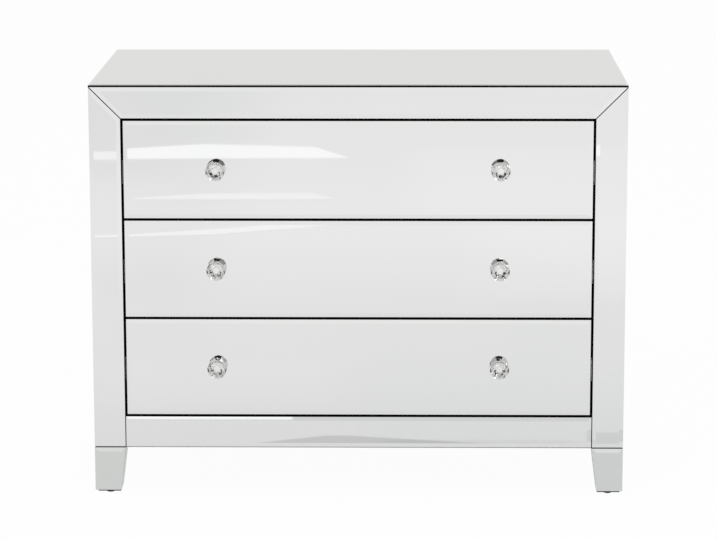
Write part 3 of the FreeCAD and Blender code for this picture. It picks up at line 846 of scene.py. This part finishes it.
# %% How the floor glows
# Painted shade: the floor glows less near the chest, where the chest would take light away.
NEAR_GLOW, MIDDLE_GLOW, FAR_GLOW = 0.888, 0.959, 1.05
NEAR_RANGE, FAR_RANGE = (0.2, 1.3), (1.5, 2.9)
EVER = 99.0
# Patches of painted light where the change is up and painted shade where it is down; the last two
# are strips of painted shade close by.
# From and to along x, its soft edge, from and to ahead of the chest, its soft edge, the change
LIT_AND_SHADED_PATCHES = (
    (-EVER, -0.55, 0.25, 2.1, EVER, 0.5, -0.035),
    (-EVER, -0.80, 0.30, 3.9, EVER, 0.5, -0.040),
    (0.20, EVER, 0.20, 3.3, 4.1, 0.4, 0.025),
    (0.45, EVER, 0.35, 1.95, 2.9, 0.25, 0.028),
    (-0.50, -0.15, 0.15, 0.80, 1.0, 0.2, 0.022),
    (0.10, 0.39, 0.10, 0.365, 0.385, 0.015, -0.090),
    (0.475, EVER, 0.025, 0.37, 0.45, 0.015, -0.140),
)
# A strip of painted shade in the floor's glow, a little in front of the chest.
SHADE_STRIP_AHEAD, SHADE_STRIP_DEPTH, SHADE_STRIP_DIMS = 0.363, 0.063, 0.25
SHADE_STRIP_START, SHADE_STRIP_DEEPENS = -0.215, 0.45
SHADE_STRIP_TURN, SHADE_STRIP_TAPERS = -0.03, 0.22
SHADE_STRIP_NEAR_EDGE, SHADE_STRIP_FAR_EDGE = (-0.006, 0.004), (-0.008, 0.008)


def floor_glow(recipe):
    """How brightly the floor glows for the mirrors, with painted light and shade by its place
    before the chest.
    """
    x, y, _ = recipe.split(recipe.add("ShaderNodeTexCoord", outputs="Object"))
    low, high = cad_box
    beside = (abs(x) - high[X]).larger(0.0)
    ahead = low[Y] - y
    along = ahead.larger(y - high[Y]).larger(0.0)
    away = (beside * beside + along * along).root()
    glow = NEAR_GLOW + (MIDDLE_GLOW - NEAR_GLOW) * recipe.ramp(away, *NEAR_RANGE)
    glow = glow + (FAR_GLOW - MIDDLE_GLOW) * recipe.ramp(away, *FAR_RANGE)
    for left, right, soft_x, near, far, soft_y, change in LIT_AND_SHADED_PATCHES:
        over = recipe.ramp(x, left - soft_x, left) * recipe.ramp(x, right + soft_x, right)
        over = over * recipe.ramp(ahead, near - soft_y, near)
        over = over * recipe.ramp(ahead, far + soft_y, far)
        glow = glow * (1.0 + change * over)
    # The strip of painted shade: its depth along y follows three straight lines.
    into = ahead - SHADE_STRIP_AHEAD
    depth = SHADE_STRIP_DEEPENS * (x - SHADE_STRIP_START)
    depth = depth.smaller(SHADE_STRIP_DEPTH - SHADE_STRIP_TAPERS * (x - SHADE_STRIP_TURN)).smaller(SHADE_STRIP_DEPTH)
    shade_strip = recipe.ramp(depth - into, *SHADE_STRIP_FAR_EDGE) * recipe.ramp(into, *SHADE_STRIP_NEAR_EDGE)
    return glow * (1.0 - SHADE_STRIP_DIMS * shade_strip)


# %% [markdown]
# To the camera the floor is almost pure white with a faint shadow. A floor that is so bright from
# lamps alone would burn out the rest, so Light Path mixes an even white glow into a plain diffuse
# floor, more of it for the camera's own rays than for those from mirrors and glass.

# %% The floor
GLOW_TO_CAMERA = 0.97
GLOW_TO_MIRRORS = 0.85
FLOOR_HALF = 30.0
PAPER_WHITE = (0.9, 0.9, 0.9, 1.0)


def studio_finish(name, glow, to_camera, to_mirrors):
    """White paper that also glows, by one share for the camera and one for mirrors and glass."""
    material = bpy.data.materials.new(name)
    material.use_nodes = True
    material.node_tree.nodes.clear()
    recipe = Recipe(material.node_tree)
    rays = ("Is Camera Ray", "Is Glossy Ray", "Is Transmission Ray")
    camera, glossy, through = recipe.add("ShaderNodeLightPath", outputs=rays)
    share = camera * to_camera + glossy.larger(through) * to_mirrors
    matt = recipe.add("ShaderNodeBsdfDiffuse", values={"Color": PAPER_WHITE})
    seen = camera.larger(glow(recipe) * (1.0 - camera))
    lit = recipe.add("ShaderNodeEmission", values={"Color": seen, "Strength": 1.0})
    mixed = recipe.add("ShaderNodeMixShader", values={0: share, 1: matt, 2: lit})
    recipe.add("ShaderNodeOutputMaterial", values={"Surface": mixed}, outputs=None)
    return material


def sheet_object(name, corners, height, material):
    """A flat stage sheet on the floor, from its corners in order."""
    mesh = bpy.data.meshes.new(name)
    mesh.from_pydata([(x, y, height) for x, y in corners], [], [range(len(corners))])
    mesh.materials.append(material)
    made = bpy.data.objects.new(name, mesh)
    bpy.context.scene.collection.objects.link(made)


paper = studio_finish("studio_paper", floor_glow, GLOW_TO_CAMERA, GLOW_TO_MIRRORS)
square = [(-FLOOR_HALF, -FLOOR_HALF), (FLOOR_HALF, -FLOOR_HALF)]
square += [(FLOOR_HALF, FLOOR_HALF), (-FLOOR_HALF, FLOOR_HALF)]
sheet_object("studio_floor", square, 0.0, paper)
print(f"The floor reaches {FLOOR_HALF:.0f} m every way")

# %% [markdown]
# The photograph's mirrors show bright bands on the left. They are painted light: sheets that lie on
# the studio floor in front, out of the picture, and glow brighter than white though they are no
# lamps. Where they lie could be tried out by eye, but a mirror can be followed backwards. A ray
# from the camera through a band's corner is turned round at the panes and meets the floor at the
# sheet's corner. The left stile's pane leans a hair more than its neighbours, so it has a sheet of
# its own.
# The two farthest, a bright sheet of painted light and a dimmer sheet of painted shade, are only
# seen in the apron's upper bevel, which looks almost level, so they are placed in metres.

# %% Sheets of painted light and shade on the floor
SHEET_HEIGHT = 0.002


def floor_behind(across, down):
    """The place on the floor that the front panes show at a pixel of the photograph."""
    from_middle = (across - FRAME_WIDTH_PIXELS / 2, FRAME_HEIGHT_PIXELS / 2 - down)
    ray = turn.to_3x3() @ Vector((*from_middle, -FOCAL_PIXELS))
    on_pane = EYE + ray * ((rail_low.y - EYE.y) / ray.y)
    reach = (on_pane.z - SHEET_HEIGHT) / -ray.z
    return on_pane.x + ray.x * reach, on_pane.y - ray.y * reach


# These glowing sheets are painted light for the bright bands in the mirrors.
# A sheet's glow, and the corners of the band that it makes, in pixels across and down the picture
BAND_CORNERS = {
    "wedge_sheet": (1.17, [(126, 148.5), (205, 144), (315, 147), (350, 158), (120, 159)]),
    "stile_sheet": (1.09, [(88, 151.5), (121, 151.5), (116, 160), (82, 160)]),
    "middle_sheet": (
        1.09,
        [(133, 198), (205, 193.5), (310, 193), (336, 199), (300, 199.5), (133, 199.5)],
    ),
    "near_sheet": (
        1.11,
        [(91, 235.5), (127, 234.5), (240, 227.5), (272, 224.5), (300, 224.5), (330.5, 225),
         (300, 228.5), (272, 230), (240, 232.5), (215, 234.5), (127, 237), (91, 238)],
    ),
}
# The far bright sheet is painted light, and the far dim sheet is painted shade.
# A sheet's glow, and its own corners along x and y
SHEETS = {
    "far_sheet": (1.20, [(-1.6, -7.35), (-1.6, -9.5), (-0.50, -9.5), (-0.405, -7.35)]),
    "far_shade": (
        0.79,
        [(-1.6, -6.2), (-1.6, -7.35), (-0.405, -7.35), (-0.50, -9.5), (1.6, -9.5), (1.3, -6.2)],
    ),
}
for name, (strength, band) in BAND_CORNERS.items():
    SHEETS[name] = (strength, [floor_behind(*corner) for corner in band])
for name, (strength, corners) in SHEETS.items():
    sheet = studio_finish(name, lambda recipe, strength=strength: strength, 1.0, 1.0)
    sheet_object(name, corners, SHEET_HEIGHT, sheet)
    print(f"{name:14} from {-max(y for x, y in corners):.2f} m in front of the middle")

# %% [markdown]
# The world is the room. Diffuse surfaces get an even light from it. The camera sees it white. The
# mirrors see it white near the horizon in front, where the paper sweeps up, and a little greyer
# behind the chest. Higher up a studio is dim, so for reflected and refracted rays the room darkens
# with height: to a grey ceiling behind, which the top pane shows, and almost to black overhead and
# above the camera, which is what gives cut crystal its dark facets.

# %% The room
ROOM_LIGHT = (0.55, 0.55, 0.55, 1.0)
FRONT_WALL = (0.99, 0.99, 0.98, 1.0)
BACK_WALL = (0.815, 0.820, 0.800, 1.0)
GREY_CEILING = (0.42, 0.42, 0.41, 1.0)
DARK_CEILING = (0.03, 0.03, 0.028, 1.0)
WHITE = (1.0, 1.0, 1.0, 1.0)
WALL_RANGE, CEILING_RANGE = (-0.3, 0.3), (-0.1, 0.25)
DIM_RANGE, SIDE_LIFT = (0.17, 0.42), 0.42
world = bpy.data.worlds.new("studio_room")
world.use_nodes = True
bpy.context.scene.world = world
world.node_tree.nodes.clear()
room = Recipe(world.node_tree)
camera_ray, glossy_ray, through_ray = room.add(
    "ShaderNodeLightPath", outputs=("Is Camera Ray", "Is Glossy Ray", "Is Transmission Ray")
)
sideways, backward, upward = room.split(room.add("ShaderNodeTexCoord", outputs="Generated"))
walls = room.blend(room.ramp(backward, *WALL_RANGE), FRONT_WALL, BACK_WALL)
dim = room.ramp(upward - SIDE_LIFT * abs(sideways), *DIM_RANGE)
ceiling = room.blend(room.ramp(backward, *CEILING_RANGE), DARK_CEILING, GREY_CEILING)
seen = room.blend(dim, walls, ceiling)
colour = room.blend(glossy_ray.larger(through_ray), ROOM_LIGHT, seen)
colour = room.blend(camera_ray, colour, WHITE)
background = room.add("ShaderNodeBackground", values={"Color": colour})
room.add("ShaderNodeOutputWorld", values={"Surface": background}, outputs=None)
print("The room has", len(world.node_tree.nodes), "nodes")


# %% [markdown]
# Two large soft boxes stand in front, one high on the left and one lower on the right. They give
# the boards and the floor their shading, and the crystal its highlights. Area lamps are soft
# because they are large, and far enough away that the chest is lit evenly from top to bottom.


# %% Lamps
def soft_box(name, place, target, width, height, power):
    """A rectangular area lamp at a place, turned to a target."""
    data = bpy.data.lights.new(name, "AREA")
    data.shape = "RECTANGLE"
    data.size = width
    data.size_y = height
    data.energy = power
    lamp = bpy.data.objects.new(name, data)
    lamp.location = place
    lamp.rotation_euler = (Vector(target) - Vector(place)).to_track_quat("-Z", "Y").to_euler()
    bpy.context.scene.collection.objects.link(lamp)
    print(f"{name:14} {power:.0f} W over {width * height:.1f} square metres")


CENTRE = (0.0, 0.0, 0.4)
soft_box("key_box", (-1.9, -2.6, 3.3), CENTRE, width=2.4, height=1.8, power=55.0)
soft_box("fill_box", (2.6, -2.0, 2.6), CENTRE, width=1.8, height=1.8, power=25.0)

# %% The finished scene
bpy.context.scene.view_settings.view_transform = "Standard"
